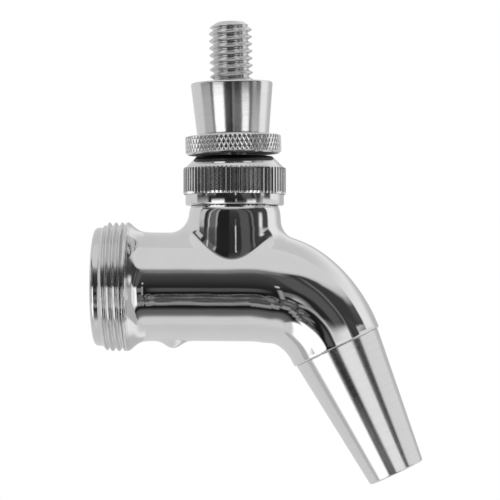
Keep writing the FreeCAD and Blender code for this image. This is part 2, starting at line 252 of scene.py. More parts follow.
def moulded(name, colour, roughness, grain, distance):
    """Rubber or plastic out of a mould, with a fine grain of the given depth in metres."""
    material, tree, shader = start_material(name, colour, 0.0)
    shader.inputs["Specular IOR Level"].default_value = 0.45
    vector = object_coordinates(tree)
    fine = noise_node(tree, vector, grain, 3.0, 0.6)
    cloud = noise_node(tree, vector, 220.0, 3.0, 0.5)
    rough = range_node(tree, cloud, 0.3, 0.7, roughness - 0.06, roughness + 0.08)
    tree.links.new(rough, shader.inputs["Roughness"])
    tone(tree, shader, cloud, tuple(c * 0.88 for c in colour), colour)
    add_bump(tree, shader, fine, distance)
    return material


mirror_steel = buffed_steel("Mirror-buffed cast steel", (0.79, 0.79, 0.79), 0.018, 0.04, 0.00016)
bonnet_steel = buffed_steel("Buffed bonnet steel", (0.78, 0.78, 0.78), 0.045, 0.09, 0.00003)
knurl_steel = buffed_steel("Knurled steel", (0.82, 0.82, 0.82), 0.12, 0.20, 0.00003)
ferrule_steel = turned_steel("Bright turned steel", (0.80, 0.80, 0.80), 0.13, 0.17, 0.000004, 0.00006)
spout_steel = turned_steel("Fine turned spout steel", (0.80, 0.80, 0.80), 0.09, 0.13, 0.000002, 0.00001, 0.90)
thread_steel = buffed_steel("Cut thread steel", (0.74, 0.74, 0.74), 0.10, 0.18, 0.00002)
stud_steel = buffed_steel("Dull stud steel", (0.72, 0.72, 0.72), 0.16, 0.26, 0.00002)
# Nearly black rough steel: painted shade for the nut's dished underside and bore
painted_shade_steel = buffed_steel("Rough steel with painted shade", (0.12, 0.12, 0.12), 0.40, 0.55, 0.00002)
valve_steel = buffed_steel("Machined valve steel", (0.62, 0.62, 0.62), 0.22, 0.32, 0.00002)
seal_rubber = moulded("Seal rubber", (0.028, 0.028, 0.030), 0.48, 5200.0, 0.00002)
bearing_plastic = moulded("Natural acetal", (0.80, 0.79, 0.74), 0.36, 2600.0, 0.00001)


# ---------------------------------------------------------------- meshes

def lever_matrix():
    return Matrix.Translation(Vector((NECK_X, 0, PIVOT_Z))) @ Matrix.Rotation(LEAN, 4, "Y")


def spout_matrix():
    return Matrix.Translation(Vector(seam)) @ Matrix.Rotation(-SPOUT_TILT, 4, "Y")


def tube_matrix():
    return Matrix.Rotation(math.pi / 2, 4, "Y")


def neck_matrix():
    return Matrix.Translation(Vector((NECK_X, 0, 0)))


def eased(corners, radii, steps=7):
    """Closed (radius, height) outline; radii gives the rounding of some corners by their number."""
    out = []
    total = len(corners)
    for i, corner in enumerate(corners):
        here = np.array(corner, float)
        if i not in radii:
            out.append(tuple(here))
            continue
        back = np.array(corners[i - 1], float) - here
        ahead = np.array(corners[(i + 1) % total], float) - here
        back /= np.linalg.norm(back)
        ahead /= np.linalg.norm(ahead)
        half = math.acos(max(-1, min(1, float(back @ ahead)))) / 2
        run = radii[i] / math.tan(half)
        middle = back + ahead
        middle /= np.linalg.norm(middle)
        centre = here + middle * radii[i] / math.sin(half)
        a = here + back * run - centre
        b = here + ahead * run - centre
        sweep = math.acos(max(-1, min(1, float(a @ b) / radii[i] ** 2)))
        for k in range(steps + 1):
            t = k / steps
            p = (math.sin((1 - t) * sweep) * a + math.sin(t * sweep) * b) / math.sin(sweep)
            out.append(tuple(centre + p))
    return out


def turned_rings(outline, count):
    """Rings of points about Z for each (radius, height) of an outline."""
    angle = 2 * math.pi * np.arange(count) / count
    outline = np.array(outline, float)
    rings = np.zeros((len(outline), count, 3))
    rings[:, :, 0] = outline[:, :1] * np.cos(angle)
    rings[:, :, 1] = outline[:, :1] * np.sin(angle)
    rings[:, :, 2] = outline[:, 1:]
    return rings


def rings_mesh(name, rings, matrix, closed=True):
    """Quads between rings of points in mm, with a 'turned' UV map: U round the axis, V along it."""
    total, count = rings.shape[:2]
    rows = total if closed else total - 1
    i, j = np.meshgrid(np.arange(rows), np.arange(count), indexing="ij")
    i2 = (i + 1) % total
    j2 = (j + 1) % count
    quads = np.stack([i * count + j, i * count + j2, i2 * count + j2, i2 * count + j], -1).reshape(-1, 4)
    height = rings[:, :, 2] * 0.02
    u = np.stack([j, j + 1, j + 1, j], -1) / count
    v = np.stack([height[i, j], height[i, j2], height[i2, j2], height[i2, j]], -1)
    mesh = bpy.data.meshes.new(name)
    mesh.from_pydata(rings.reshape(-1, 3).tolist(), [], quads.tolist())
    layer = mesh.uv_layers.new(name="turned")
    layer.data.foreach_set("uv", np.stack([u, v], -1).reshape(-1).astype(np.float32))
    mesh.transform(Matrix.Scale(MM, 4) @ matrix)
    tidy_mesh(mesh)
    return mesh


def tidy_mesh(mesh):
    """Merges poles and doubled points, and turns the faces outwards."""
    shape = bmesh.new()
    shape.from_mesh(mesh)
    bmesh.ops.remove_doubles(shape, verts=shape.verts, dist=1e-7)
    bmesh.ops.dissolve_degenerate(shape, edges=shape.edges, dist=1e-8)
    bmesh.ops.recalc_face_normals(shape, faces=shape.faces)
    shape.to_mesh(mesh)
    shape.free()


def join_meshes(name, parts):
    """One mesh from several (mesh, material) pairs; a pair without a mesh only adds its material."""
    shape = bmesh.new()
    mesh = bpy.data.meshes.new(name)
    for index, (part, material) in enumerate(parts):
        start = len(shape.faces)
        if part is not None:
            shape.from_mesh(part)
        shape.faces.ensure_lookup_table()
        for face in shape.faces[start:]:
            face.material_index = index
        mesh.materials.append(material)
    shape.to_mesh(mesh)
    shape.free()
    return mesh


def add_piece(name, mesh, body, node, material=None, sharp=32.0):
    """Puts a finished mesh in the scene as a piece that stands for a CAD node."""
    if material is not None:
        mesh.materials.clear()
        mesh.materials.append(material)
    if sharp:
        mesh.shade_smooth()
        mesh.set_sharp_from_angle(angle=math.radians(sharp))
    piece = bpy.data.objects.new(name, mesh)
    bpy.context.scene.collection.objects.link(piece)
    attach(piece, body)
    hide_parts(node)


# ---------------------------------------------------------------- cast body

def smooth_table(xs, ys, spread, step=0.05):
    """A table of a line through points, softened over a width of about spread."""
    grid = np.arange(xs[0], xs[-1] + step, step)
    line = np.interp(grid, xs, ys)
    reach = int(4 * spread / step)
    weight = np.exp(-0.5 * (np.arange(-reach, reach + 1) * step / spread) ** 2)
    return grid, np.convolve(np.pad(line, reach, mode="edge"), weight / weight.sum(), mode="valid")


def run_at(degrees):
    """Travel along the body at an angle of the bend."""
    return BEND_START + BEND_R * math.radians(degrees)


# Radius of the tube, and how far its middle stands out of the bend's centre line, by degrees of bend.
girth_at = [(0, 12.10), (8, 12.12), (16, 12.06), (22, 11.95), (26, 11.76), (30, 11.52), (35, 11.22),
            (40, 11.00), (46, 10.80), (52, 10.62), (58, 10.48), (64.6, 10.37)]
girth_x = [-10.0, 12.0] + [run_at(a) for a, r in girth_at] + [run_at(64.6) + SEAM_RUN, 75.0]
girth_r = [11.80, 11.88] + [r for a, r in girth_at] + [10.30, 10.10]
girth = smooth_table(girth_x, girth_r, 1.1)
shift_at = [(0, 0), (14, 0.02), (22, 0.07), (28, 0.15), (35, 0.21), (41, 0.16), (48, 0.04), (56, 0.0),
            (70, 0)]
shift = smooth_table([-10.0] + [run_at(a) for a, s in shift_at] + [75.0],
                     [0.0] + [s for a, s in shift_at] + [0.0], 1.1)


def along_body(points):
    """For each point: outward offset from the bend's centre line, sideways offset, and travel along it."""
    x, y, z = points.T
    turn = np.clip(np.arctan2(x - BEND_START, z + BEND_R), 0.0, BEND_TURN)
    reach = np.hypot(x - BEND_START, z + BEND_R) - BEND_R
    past = points - bend_end
    run = past @ spout_dir
    out = np.where(turn <= 0, z, np.where(turn >= BEND_TURN, past @ bend_out, reach))
    travel = np.where(turn <= 0, x, BEND_START + BEND_R * turn + np.where(turn >= BEND_TURN, run, 0.0))
    return out, y, travel


def soft_max(a, b, width):
    """The larger of two values, with the step between them rounded over a width."""
    return 0.5 * (a + b + np.sqrt((a - b) ** 2 + width ** 2))


def rolled_union(a, b, dot, radius):
    """Two distances joined with the fillet of a rolling ball; dot is that of their outward directions."""
    dot = np.clip(dot, -0.99, 0.99)
    u = radius - a
    v = radius - b
    inside = (u - dot * v > 0) & (v - dot * u > 0)
    ball = np.sqrt(np.maximum((u * u + v * v - 2 * dot * u * v) / (1 - dot * dot), 0))
    return np.where(inside, radius - ball, np.minimum(a, b))


# Root fillet round the neck, from its rear (-1) to its front (1), and the neck's radius by height.
root_radius = smooth_table([-1.05, -1.0, -0.7, -0.4, 0.0, 0.5, 1.0, 1.05],
                           [4.2, 4.2, 3.1, 3.2, 3.8, 4.2, 3.6, 3.6], 0.1, 0.01)
neck_girth = smooth_table([-1.0, 6.0, 13.0, 15.0, 16.1, 16.7, 17.3, 17.86, 25.0],
                          [10.5, 10.46, 10.30, 10.20, 10.11, 10.03, 9.84, 9.60, 6.5], 0.20)


def rear_cone(x):
    """Radius of the slope between the coupling thread and the tube."""
    return 13.87 - 1.0 * (x - 7.85)


def body_field(points):
    """Negative inside the metal of the cast body."""
    x, y, z = points.T
    out, side, travel = along_body(points)
    radius = np.interp(travel, *girth)
    radius = soft_max(radius, rear_cone(travel), CONE_BLEND)
    wall = np.hypot(out - np.interp(travel, *shift), side) - radius
    boss = np.hypot(x - BOSS_X, y)
    wall = wall - np.where(z < 0, BOSS_HEIGHT * np.exp(-(boss / BOSS_SPREAD) ** 2.2), 0.0)
    from_neck = np.hypot(x - NECK_X, y) + 1e-9
    toward = (x - NECK_X) / from_neck
    neck = np.maximum(from_neck - np.interp(z, *neck_girth), -z)
    turn = np.clip((travel - BEND_START) / BEND_R, 0.0, BEND_TURN)
    reach = np.hypot(out, side) + 1e-9
    dot = (toward * out * np.sin(turn) + y / from_neck * side) / reach
    outer = rolled_union(wall, neck, dot, np.interp(toward, *root_radius))
    outer = np.maximum(outer, z - NECK_SHOULDER)
    stub = np.maximum(np.maximum(from_neck - NECK_STUB_R, z - NECK_TOP), -z)
    solid = np.minimum(outer, stub)

    from_axis = np.hypot(y, z)
    middle = np.hypot(out, side)
    bore = np.maximum(from_axis - np.where(x < GUIDE_SEAT, GUIDE_BORE_R, BORE_R), x - 38.0)
    throat = np.maximum(from_axis - THROAT_R, x - 46.0)
    passage = np.maximum(middle - PASSAGE_R, 45.0 - travel)
    socket = np.maximum(middle - SOCKET_R, 53.5 - travel)
    well = np.maximum(from_neck - NECK_BORE_R, CUP_FLOOR - z)
    hole = np.maximum(np.maximum(from_neck - 6.6, z - 14.0), -z)
    hollow = np.minimum.reduce([bore, throat, passage, socket, well, hole])
    return np.maximum(solid, -hollow)


def slope_of(field, points, reach=0.01):
    """Gradient of a field at each point, by differences over a small reach."""
    slope = np.zeros_like(points)
    for axis in range(3):
        nudge = np.zeros(3)
        nudge[axis] = reach
        slope[:, axis] = (field(points + nudge) - field(points - nudge)) / (2 * reach)
    return slope


def net_surface(field, low, high, step):
    """Closed quad mesh of field == 0: one point in each grid cell that the surface crosses."""
    axes = [np.arange(a, b + step, step) for a, b in zip(low, high)]
    grid = np.stack(np.meshgrid(*axes, indexing="ij"), -1)
    values = field(grid.reshape(-1, 3)).reshape(grid.shape[:3])
    cells = tuple(n - 1 for n in values.shape)
    total = np.zeros(cells + (3,))
    hits = np.zeros(cells)
    number = np.arange(int(np.prod(cells))).reshape(cells)
    quads = []
    for d in range(3):
        e, g = (d + 1) % 3, (d + 2) % 3
        size = values.shape[d]
        near = values.take(range(size - 1), axis=d)
        far = values.take(range(1, size), axis=d)
        at = np.argwhere((near < 0) != (far < 0))
        inner = (at[:, e] > 0) & (at[:, e] < cells[e]) & (at[:, g] > 0) & (at[:, g] < cells[g])
        at = at[inner]
        a, b = near[tuple(at.T)], far[tuple(at.T)]
        cross = np.array(low) + at * step
        cross[:, d] += a / (a - b) * step
        ring = []
        for de, dg in ((0, 0), (-1, 0), (-1, -1), (0, -1)):
            cell = at.copy()
            cell[:, e] += de
            cell[:, g] += dg
            np.add.at(total, tuple(cell.T), cross)
            np.add.at(hits, tuple(cell.T), 1)
            ring.append(number[tuple(cell.T)])
        ring = np.stack(ring, 1)
        ring[a > 0] = ring[a > 0][:, ::-1]
        quads.append(ring)
    used = hits > 0
    points = total[used] / hits[used][:, None]
    rename = np.full(number.size, -1)
    rename[number[used]] = np.arange(len(points))
    return points, rename[np.concatenate(quads)]


def make_body_mesh():
    """Cast body between the coupling and the lip; its normals come from the field itself."""
    points, quads = net_surface(body_field, (6.9, -14.5, -21.0), (63.9, 14.5, 25.3), NET_STEP)
    for _ in range(6):
        slope = slope_of(body_field, points)
        move = -body_field(points)[:, None] * slope / np.maximum((slope ** 2).sum(1), 0.3)[:, None]
        points = points + np.clip(move, -NET_STEP / 2, NET_STEP / 2)
    mesh = bpy.data.meshes.new("cast_body")
    mesh.from_pydata(points.tolist(), [], quads.tolist())
    shape = bmesh.new()
    shape.from_mesh(mesh)
    lip = bend_end + spout_dir * LIP_RUN
    cuts = [((COUPLING_END, 0, 0), (-1, 0, 0)), (tuple(lip), tuple(spout_dir))]
    for place, facing in cuts:
        bmesh.ops.bisect_plane(shape, geom=shape.verts[:] + shape.edges[:] + shape.faces[:],
                               plane_co=place, plane_no=facing, clear_outer=True, dist=1e-4)
    for place, facing in cuts:
        rim = [edge for edge in shape.edges if edge.is_boundary
               and abs((edge.verts[0].co - Vector(place)).dot(Vector(facing))) < 1e-3]
        bmesh.ops.bridge_loops(shape, edges=rim)
    bmesh.ops.triangulate(shape, faces=[f for f in shape.faces if len(f.verts) > 4])
    shape.to_mesh(mesh)
    shape.free()
    place = np.zeros(len(mesh.vertices) * 3)
    mesh.vertices.foreach_get("co", place)
    normals = slope_of(body_field, place.reshape(-1, 3))
    normals /= np.maximum(np.linalg.norm(normals, axis=1), 1e-9)[:, None]
    mesh.transform(Matrix.Scale(MM, 4))
    mesh.shade_smooth()
    mesh.normals_split_custom_set_from_vertices(normals.tolist())
    return mesh


add_piece("cast_body", make_body_mesh(), "faucet", "faucet_body", mirror_steel, sharp=None)


def make_lip_mesh():
    """Rounded end of the body that meets the spout."""
    depth = SEAM_RUN - LIP_RUN
    start_r = float(np.interp(BEND_START + BEND_R * BEND_TURN + LIP_RUN, *girth))
    end_r = float(np.interp(BEND_START + BEND_R * BEND_TURN + SEAM_RUN, *girth))
    corners = [(start_r, depth), (end_r, 0.0), (SOCKET_R, 0.0), (SOCKET_R, depth)]
    return rings_mesh("seam_lip", turned_rings(eased(corners, {1: 0.42, 2: 0.15}), 224), spout_matrix())


add_piece("seam_lip", make_lip_mesh(), "faucet", "faucet_body", mirror_steel)


def thread_height(offset, pitch, crest, root, flat):
    """Radius of a 60 degree thread at an axial offset from a crest line."""
    away = np.abs((offset / pitch + 0.5) % 1.0 - 0.5) * pitch
    away = np.sqrt(np.maximum(away - flat / 2, 0) ** 2 + 0.003) - math.sqrt(0.003)
    return soft_max(crest - away * math.sqrt(3), root, 0.10) - 0.01


def make_coupling_mesh():
    """Rear collar and the coupling thread, cut as a true right-hand helix."""
    count = 240
    face_round = 1.0
    collar_end = 1.85
    first_crest = 2.95
    thread_end = 7.15
    cone_start = 7.75
    turn = np.arange(count) / count
    level = np.ones(count)
    heights = np.concatenate([np.linspace(0, face_round, 9)[:-1], np.linspace(face_round, 1.7, 4)[:-1],
                              np.arange(1.7, 7.8, 0.055), np.linspace(7.8, COUPLING_END, 4)])
    rings = []
    for h in heights:
        if h <= face_round:
            r = level * (COLLAR_R - face_round + math.sqrt(max(0.0, face_round ** 2 - (face_round - h) ** 2)))
        elif h > cone_start:
            r = level * float(soft_max(np.interp(h, *girth), rear_cone(h), CONE_BLEND))
        else:
            cut = level * COLLAR_R
            if h > collar_end:
                cut = thread_height(h - first_crest - turn * COUPLING_PITCH, COUPLING_PITCH,
                                    COUPLING_R - 0.02, COUPLING_R - 0.84, 0.14)
                cut = np.minimum(cut, COLLAR_R + (h - collar_end) * 1.05)
            land = min(COUPLING_R - 0.05, rear_cone(h)) - max(0.0, thread_end - h) * 4.0
            r = np.maximum(cut, land)
        rings.append(np.stack([r * np.cos(2 * math.pi * turn), r * np.sin(2 * math.pi * turn),
                               level * h], -1))
    last = float(soft_max(np.interp(COUPLING_END, *girth), rear_cone(COUPLING_END), CONE_BLEND))
    rings[-1] = turned_rings([(last, COUPLING_END)], count)[0]
    inner = eased([(GUIDE_BORE_R, COUPLING_END), (GUIDE_BORE_R, 0.6), (GUIDE_BORE_R + 0.6, 0.0),
                   (COLLAR_R - face_round, 0.0)], {1: 0.2, 2: 0.2})
    rings = np.concatenate([np.array(rings), turned_rings(inner[:-1], count)])
    # A turn of the thread runs counter-clockwise seen from the spout, which makes it right-handed.
    rings = np.stack([-rings[:, :, 1], rings[:, :, 0], rings[:, :, 2]], -1)
    return rings_mesh("coupling_end", rings, tube_matrix())


add_piece("coupling_end", make_coupling_mesh(), "faucet", "faucet_body", thread_steel,
          sharp=50.0)


# ---------------------------------------------------------------- spout

def make_spout_mesh():
    """Tapered spout with its bore and the spigot that goes into the body's socket."""
    tip, tip_r, tip_bore = -30.55, 6.35, 5.3
    top_r, spigot_r, top_bore = 9.86, 8.2, 6.7
    corners = [(tip_bore, tip), (tip_r, tip), (top_r, 0.0), (spigot_r, 0.0), (spigot_r, 5.7),
               (top_bore, 5.7), (top_bore, -6.0), (tip_bore, tip + 8.0)]
    outline = eased(corners, {0: 0.3, 1: 0.4, 2: 0.22}, 8)
    return rings_mesh("spout", turned_rings(outline, 256), spout_matrix())


add_piece("spout", make_spout_mesh(), "faucet", "spout", spout_steel)


# ---------------------------------------------------------------- lever, ferrule

def make_lever_mesh():
    """Stud with a true right-hand thread, stem, pivot ball and finger in one piece."""
    count = 144
    ball, finger_r, stem_r = 5.8, 2.3, 3.0
    nut_thread_end, handle_thread_start, chamfer_start = 16.2, 25.0, 37.35
    turn = np.arange(count) / count
    low = [(0.0, -21.75), (1.15, -21.75), (1.45, -21.45), (1.45, -11.0), (finger_r, -7.5)]
    ball_turn = np.linspace(-math.acos(finger_r / ball), math.acos(stem_r / ball), 25)
    low += [(ball * math.cos(a), ball * math.sin(a)) for a in ball_turn]
    low += [(stem_r, 11.2), (3.6, 11.6)]
    stack = [turned_rings(low, count)]
    threaded = []
    for h in np.arange(11.7, 37.95, 0.085):
        cut = thread_height(h - 25.75 - turn * STUD_PITCH, STUD_PITCH, STUD_R, STUD_R - 0.93, 0.16)
        if h < nut_thread_end:
            cut = np.minimum(cut, 4.60)
        elif h < handle_thread_start:
            cut = np.full(count, 4.30)
        cut = np.minimum(cut, STUD_R - max(0.0, h - chamfer_start) * 1.35)
        threaded.append(np.stack([cut * np.cos(2 * math.pi * turn), cut * np.sin(2 * math.pi * turn),
                                  np.full(count, h)], -1))
    stack.append(np.array(threaded))
    tip = [(3.55, 38.2), (3.1, 38.52), (2.75, 38.66), (2.5, 38.70), (0.0, 38.70)]
    stack.append(turned_rings(tip, count))
    return rings_mesh("lever", np.concatenate(stack), lever_matrix(), closed=False)


add_piece("lever", make_lever_mesh(), "lever_group", "lever", stud_steel, sharp=55.0)


def make_ferrule_mesh():
    """Collar on the jam nut, wider at its top."""
    corners = [(4.86, 13.45), (7.93, 13.45), (9.10, 25.20), (4.86, 25.20)]
    outline = eased(corners, {1: 0.35, 2: 0.45, 3: 0.35}, 9)
    return rings_mesh("ferrule", turned_rings(outline, 256), lever_matrix())


add_piece("ferrule", make_ferrule_mesh(), "collar", "ferrule", ferrule_steel)


# ---------------------------------------------------------------- knurled bands

def knurl_tree():
    """Geometry Nodes: a band cut with straight or crossed V grooves."""
    tree = bpy.data.node_groups.new("Knurled band", "GeometryNodeTree")
    kinds = [("NodeSocketFloat", ("Radius", "Low", "Height", "Depth", "Bevel", "Slant", "Width")),
             ("NodeSocketInt", ("Count", "Samples", "Rows")), ("NodeSocketMaterial", ("Material",))]
    for kind, labels in kinds:
        for label in labels:
            tree.interface.new_socket(name=label, in_out="INPUT", socket_type=kind)
    tree.interface.new_socket(name="Mesh", in_out="OUTPUT", socket_type="NodeSocketGeometry")
    take = tree.nodes.new("NodeGroupInput").outputs
    give = tree.nodes.new("NodeGroupOutput")
    link = tree.links.new

    band = tree.nodes.new("GeometryNodeMeshCylinder")
    band.fill_type = "NONE"
    link(math_node(tree, "MULTIPLY", take["Count"], take["Samples"]), band.inputs["Vertices"])
    link(take["Rows"], band.inputs["Side Segments"])
    link(take["Radius"], band.inputs["Radius"])
    link(take["Height"], band.inputs["Depth"])

    split = tree.nodes.new("ShaderNodeSeparateXYZ")
    link(tree.nodes.new("GeometryNodeInputPosition").outputs["Position"], split.inputs[0])
    x, y, z = split.outputs
    angle = math_node(tree, "ARCTAN2", y, x)
    around = math_node(tree, "DIVIDE", math_node(tree, "MULTIPLY", angle, take["Count"]), 2 * math.pi)
    lean = math_node(tree, "MULTIPLY", z, take["Slant"])
    grooves = []
    for operation in ("ADD", "SUBTRACT"):
        phase = math_node(tree, operation, around, lean)
        away = math_node(tree, "MULTIPLY", math_node(tree, "PINGPONG", phase, 0.5), 2.0)
        wall = math_node(tree, "SUBTRACT", 1.0, math_node(tree, "DIVIDE", away, take["Width"]))
        grooves.append(math_node(tree, "MAXIMUM", wall, 0.0))
    cut = math_node(tree, "MAXIMUM", *grooves)
    edge = math_node(tree, "SUBTRACT", math_node(tree, "MULTIPLY", take["Height"], 0.5),
                     math_node(tree, "ABSOLUTE", z))
    near = math_node(tree, "SUBTRACT", 1.0, math_node(tree, "DIVIDE", edge, take["Bevel"]))
    near = math_node(tree, "MAXIMUM", near, 0.0)
    sunk = math_node(tree, "ADD", math_node(tree, "MULTIPLY", cut, take["Depth"]),
                     math_node(tree, "MULTIPLY", near, take["Bevel"]))
    reach = math_node(tree, "SUBTRACT", take["Radius"], sunk)
    lift = math_node(tree, "ADD", math_node(tree, "ADD", z, take["Low"]),
                     math_node(tree, "MULTIPLY", take["Height"], 0.5))
    join = tree.nodes.new("ShaderNodeCombineXYZ")
    link(math_node(tree, "MULTIPLY", reach, math_node(tree, "COSINE", angle)), join.inputs[0])
    link(math_node(tree, "MULTIPLY", reach, math_node(tree, "SINE", angle)), join.inputs[1])
    link(lift, join.inputs[2])
    place = tree.nodes.new("GeometryNodeSetPosition")
    link(band.outputs["Mesh"], place.inputs["Geometry"])
    link(join.outputs[0], place.inputs["Position"])
    real = tree.nodes.new("GeometryNodeRealizeInstances")
    link(place.outputs["Geometry"], real.inputs["Geometry"])
    paint = tree.nodes.new("GeometryNodeSetMaterial")
    link(real.outputs["Geometry"], paint.inputs["Geometry"])
    link(take["Material"], paint.inputs["Material"])
    link(paint.outputs["Geometry"], give.inputs["Mesh"])
    return tree


knurls = knurl_tree()


def knurled_band(name, matrix, material, **sizes):
    """A knurled band as a plain mesh; sizes in mm, named as the tree's inputs."""
    holder = bpy.data.objects.new(name, bpy.data.meshes.new(name))
    bpy.context.scene.collection.objects.link(holder)
    change = holder.modifiers.new("knurl", "NODES")
    change.node_group = knurls
    for item in knurls.interface.items_tree:
        if item.in_out == "INPUT" and item.name in sizes:
            value = sizes[item.name]
            change[item.identifier] = value if isinstance(value, int) else float(value)
        if item.in_out == "INPUT" and item.name == "Material":
            change[item.identifier] = material
    graph = bpy.context.evaluated_depsgraph_get()
    mesh = bpy.data.meshes.new_from_object(holder.evaluated_get(graph))
    bpy.data.objects.remove(holder)
    mesh.transform(Matrix.Scale(MM, 4) @ matrix)
    return mesh


def make_bonnet_mesh():
    """Cap with a plain foot, a straight-knurled band and a cone, open for the lever."""
    foot = [(9.68, 17.90), (10.90, 17.90), (10.90, 20.30), (10.75, 20.42), (10.75, 26.16), (11.0, 26.22),
            (8.40, 28.80), (7.35, 28.80), (6.30, 26.0), (9.25, 26.0), (9.25, 19.55), (9.68, 19.55)]
    core = rings_mesh("bonnet_core", turned_rings(eased(foot, {1: 0.45, 2: 0.08, 5: 0.12, 6: 0.22}), 288),
                      neck_matrix())
    band = knurled_band("bonnet_knurl", neck_matrix(), knurl_steel, Radius=11.35, Low=20.34, Height=5.94,
                        Depth=0.30, Bevel=0.14, Slant=0.0, Width=0.66, Count=72, Samples=12, Rows=20)
    return join_meshes("bonnet", [(core, bonnet_steel), (band, knurl_steel)])


add_piece("bonnet", make_bonnet_mesh(), "faucet", "bonnet", sharp=28.0)


def make_nut_mesh():
    """Low round nut with a diamond knurl; its dished underside and its bore are rough steel darkened with
    painted shade.
    """
    outline = [(9.20, 9.30), (10.05, 9.30), (10.50, 9.62), (10.28, 9.80), (10.28, 13.15), (10.35, 13.25),
               (10.20, 13.40), (4.66, 13.40), (4.66, 11.65), (4.95, 11.65), (7.20, 10.65), (8.70, 10.0)]
    outline = eased(outline, {1: 0.12, 2: 0.1, 6: 0.08})
    core = rings_mesh("nut_core", turned_rings(outline, 240), lever_matrix())
    band = knurled_band("nut_knurl", lever_matrix(), knurl_steel, Radius=10.62, Low=9.66, Height=3.66,
                        Depth=0.16, Bevel=0.14, Slant=0.48, Width=0.40, Count=64, Samples=14, Rows=56)
    nut = join_meshes("jam_nut", [(core, bonnet_steel), (band, knurl_steel), (None, painted_shade_steel)])
    to_lever = lever_matrix().inverted()
    # faces under the nut and in its bore take the nearly black steel, as painted shade
    for face in nut.polygons:
        spot = to_lever @ (face.center / MM)
        reach = 10.0 if spot.z < 9.58 else 9.6
        if spot.z < 13.3 and math.hypot(spot.x, spot.y) < reach:
            face.material_index = 2
    return nut


add_piece("jam_nut", make_nut_mesh(), "nut", "jam_nut", sharp=28.0)


# ---------------------------------------------------------------- CAD nodes that stay

finishes = {
    "shaft_guide": bearing_plastic, "bearing_cup": bearing_plastic, "compression_bushing": bearing_plastic,
    "finger_sleeve": bearing_plastic, "thrust_washer": valve_steel, "guide_ring": valve_steel,
    "valve_shaft": valve_steel, "valve_head": valve_steel, "seal_screw": valve_steel,
    "spout_o_ring": seal_rubber, "cup_o_ring": seal_rubber, "ball_o_ring": seal_rubber,
    "neck_o_ring": seal_rubber, "seal_ring": seal_rubber,
}
for node_name, finish in finishes.items():
    mesh = nodes[node_name].data
    if mesh.materials:
        for index in range(len(mesh.materials)):
            mesh.materials[index] = finish
    else:
        mesh.materials.append(finish)


# ---------------------------------------------------------------- studio

def glow_material(name, strength):
    """Material that is clear where its mask is 0 and glows where it is 1; gives the mask's socket too."""
    material = bpy.data.materials.new(name)
    material.use_nodes = True
    tree = material.node_tree
    tree.nodes.clear()
    glow = tree.nodes.new("ShaderNodeEmission")
    glow.inputs["Strength"].default_value = strength
    mix = tree.nodes.new("ShaderNodeMixShader")
    tree.links.new(tree.nodes.new("ShaderNodeBsdfTransparent").outputs[0], mix.inputs[1])
    tree.links.new(glow.outputs[0], mix.inputs[2])
    tree.links.new(mix.outputs[0], tree.nodes.new("ShaderNodeOutputMaterial").inputs["Surface"])
    return material, tree, mix.inputs[0]


def stage_sheet(name, corners, material):
    """Flat sheet of the studio that throws no shadow and no bounce."""
    mesh = bpy.data.meshes.new(name)
    mesh.from_pydata(corners, [], [(0, 1, 2, 3)])
    mesh.materials.append(material)
    sheet = bpy.data.objects.new(name, mesh)
    bpy.context.scene.collection.objects.link(sheet)
    sheet.visible_diffuse = False
    sheet.visible_shadow = False
    return sheet


def make_floor():
    """Pale floor that only shows from above, so that it doesn't hide the faucet from below."""
    material, tree, mask = glow_material("Pale floor", 1.0)
    behind = tree.nodes.new("ShaderNodeNewGeometry").outputs["Backfacing"]
    tree.links.new(math_node(tree, "SUBTRACT", 1.0, behind), mask)
    floor = stage_sheet("floor", [(-3, -3, 0), (3, -3, 0), (3, 3, 0), (-3, 3, 0)], material)
    floor.location = (0.03, 0, -0.060)
    floor.visible_glossy = False


def make_card(name, middle, turn, size, strength):
    """Soft-edged white card in its own X-Z plane, seen only in reflections; sizes in metres."""
    material, tree, mask = glow_material(name, strength)
    split = tree.nodes.new("ShaderNodeSeparateXYZ")
    tree.links.new(object_coordinates(tree), split.inputs[0])
    across = range_node(tree, math_node(tree, "ABSOLUTE", split.outputs[0]), 1.0, 0.84)
    along = range_node(tree, math_node(tree, "ABSOLUTE", split.outputs[2]), 1.0, 0.84)
    tree.links.new(math_node(tree, "MULTIPLY", across, along), mask)
    card = stage_sheet(name, [(-1, 0, -1), (1, 0, -1), (1, 0, 1), (-1, 0, 1)], material)
    card.location = middle
    card.rotation_euler = turn
    card.scale = (size[0] / 2, 1, size[1] / 2)
    card.visible_camera = False


def make_cards():
    """Two cards close to the spout: one in front, leaning with it, and one at its side."""
    front = seam * MM + bend_out * 0.0265 + spout_dir * 0.038
    make_card("front_card", (front[0], -0.058, front[2]), (0, -SPOUT_TILT, 0), (0.055, 0.082), 0.92)
    make_card("side_card", (0.130, 0.008, -0.008), (0, 0, math.pi / 2), (0.100, 0.060), 0.80)


def panel(tree, light, azimuth, elevation, middle, half, soft, value, lean=0.0):
    """Adds a soft-edged panel to the studio: middle, half width and soft edge are (across, up) in
    degrees. A panel with some lean moves across by that much for each degree upwards."""
    if lean:
        rise = math_node(tree, "SUBTRACT", elevation, middle[1])
        azimuth = math_node(tree, "SUBTRACT", azimuth, math_node(tree, "MULTIPLY", rise, lean))
    masks = []
    for angle, centre, width, edge in zip((azimuth, elevation), middle, half, soft):
        away = math_node(tree, "ABSOLUTE", math_node(tree, "SUBTRACT", angle, centre))
        masks.append(range_node(tree, away, width + edge, width - edge))
    mask = math_node(tree, "MULTIPLY", *masks)
    return blend(tree, mask, light, value)


def blend(tree, factor, low, high):
    """Mix of two lights; sockets 0, 2 and 3 of a Mix node are its factor and its two numbers."""
    mix = tree.nodes.new("ShaderNodeMix")
    for slot, value in ((0, factor), (2, low), (3, high)):
        if isinstance(value, (int, float)):
            mix.inputs[slot].default_value = value
        else:
            tree.links.new(value, mix.inputs[slot])
    return mix.outputs[0]


